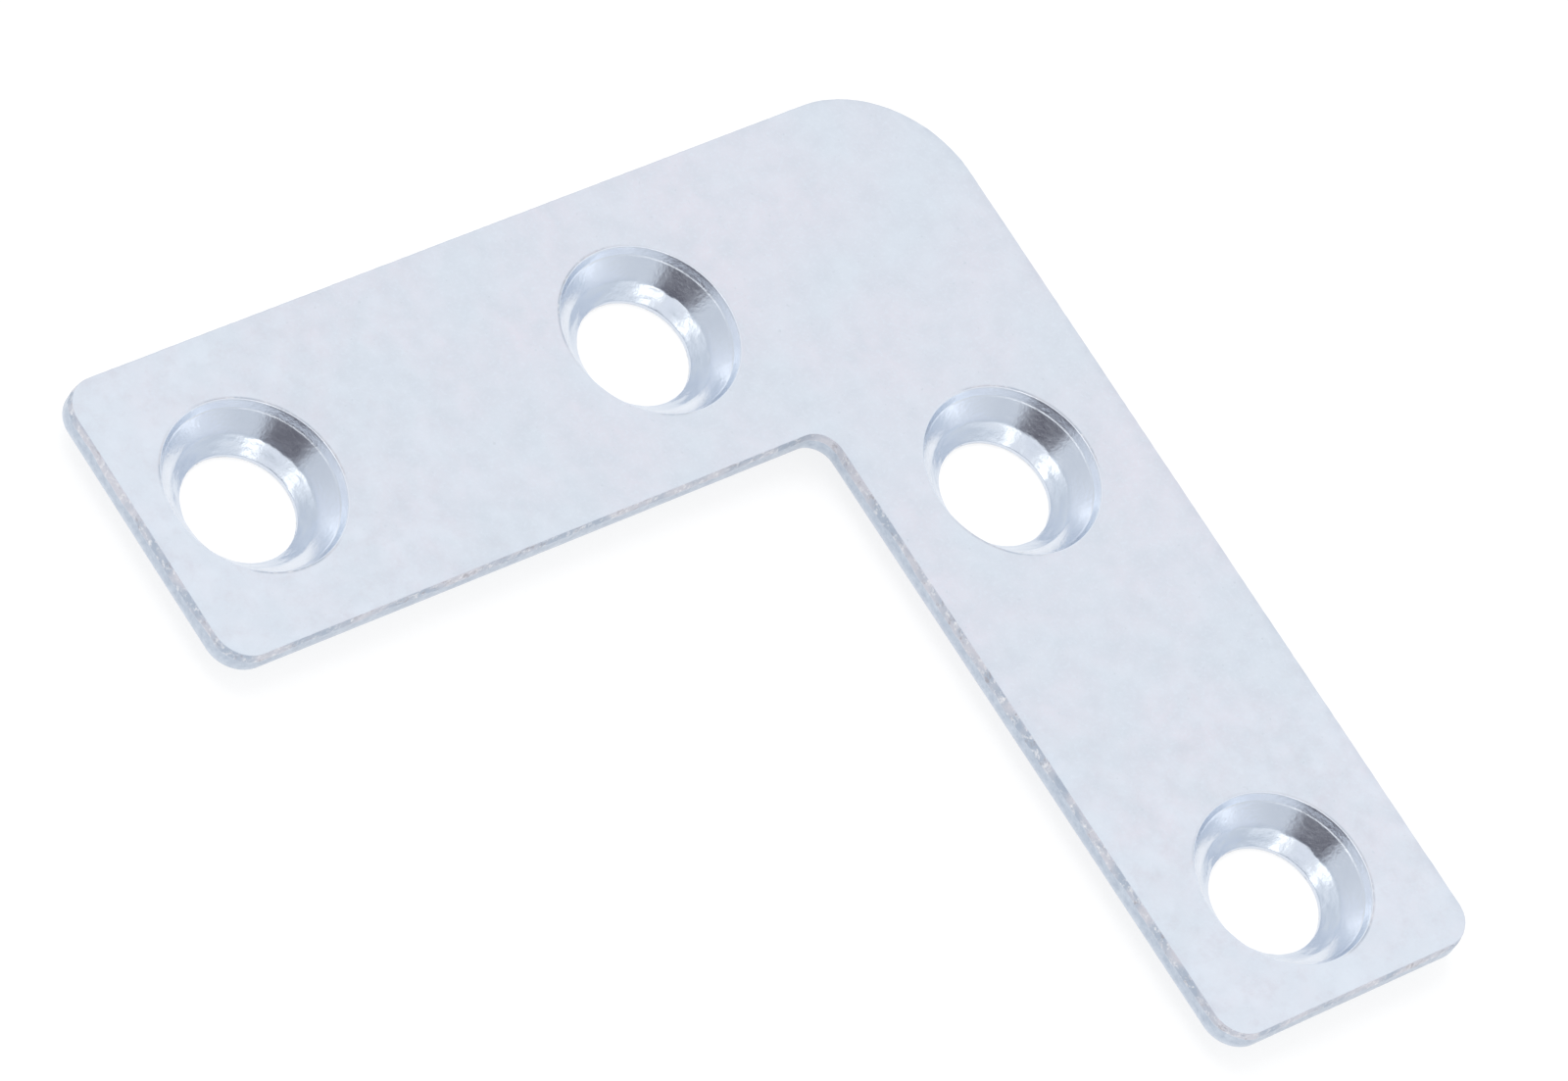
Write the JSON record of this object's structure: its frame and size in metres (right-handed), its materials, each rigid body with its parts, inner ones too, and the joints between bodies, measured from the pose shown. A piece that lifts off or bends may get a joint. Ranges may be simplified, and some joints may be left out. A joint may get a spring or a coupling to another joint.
{
  "type": "corner angle bracket",
  "caption": "Flat L-shaped corner plate of zinc-plated sheet steel, with a rounded outer corner and dimpled countersunk screw holes along both arms.",
  "frame": {"origin": "where the centre lines of the two arms cross, on the plate's flat back face", "axes": "+X along the centre line of one arm, +Y along the centre line of the other, +Z out of the front face, the side that the screws go in from"},
  "size_m": [0.0399, 0.0399, 0.002],
  "materials": {
    "zinc_plate": "bright blue-white zinc plating on rolled sheet steel, semi-matt, slightly mottled"
  },
  "bodies": {
    "root": {"corner_plate": "zinc_plate"}
  },
  "joints": []
}
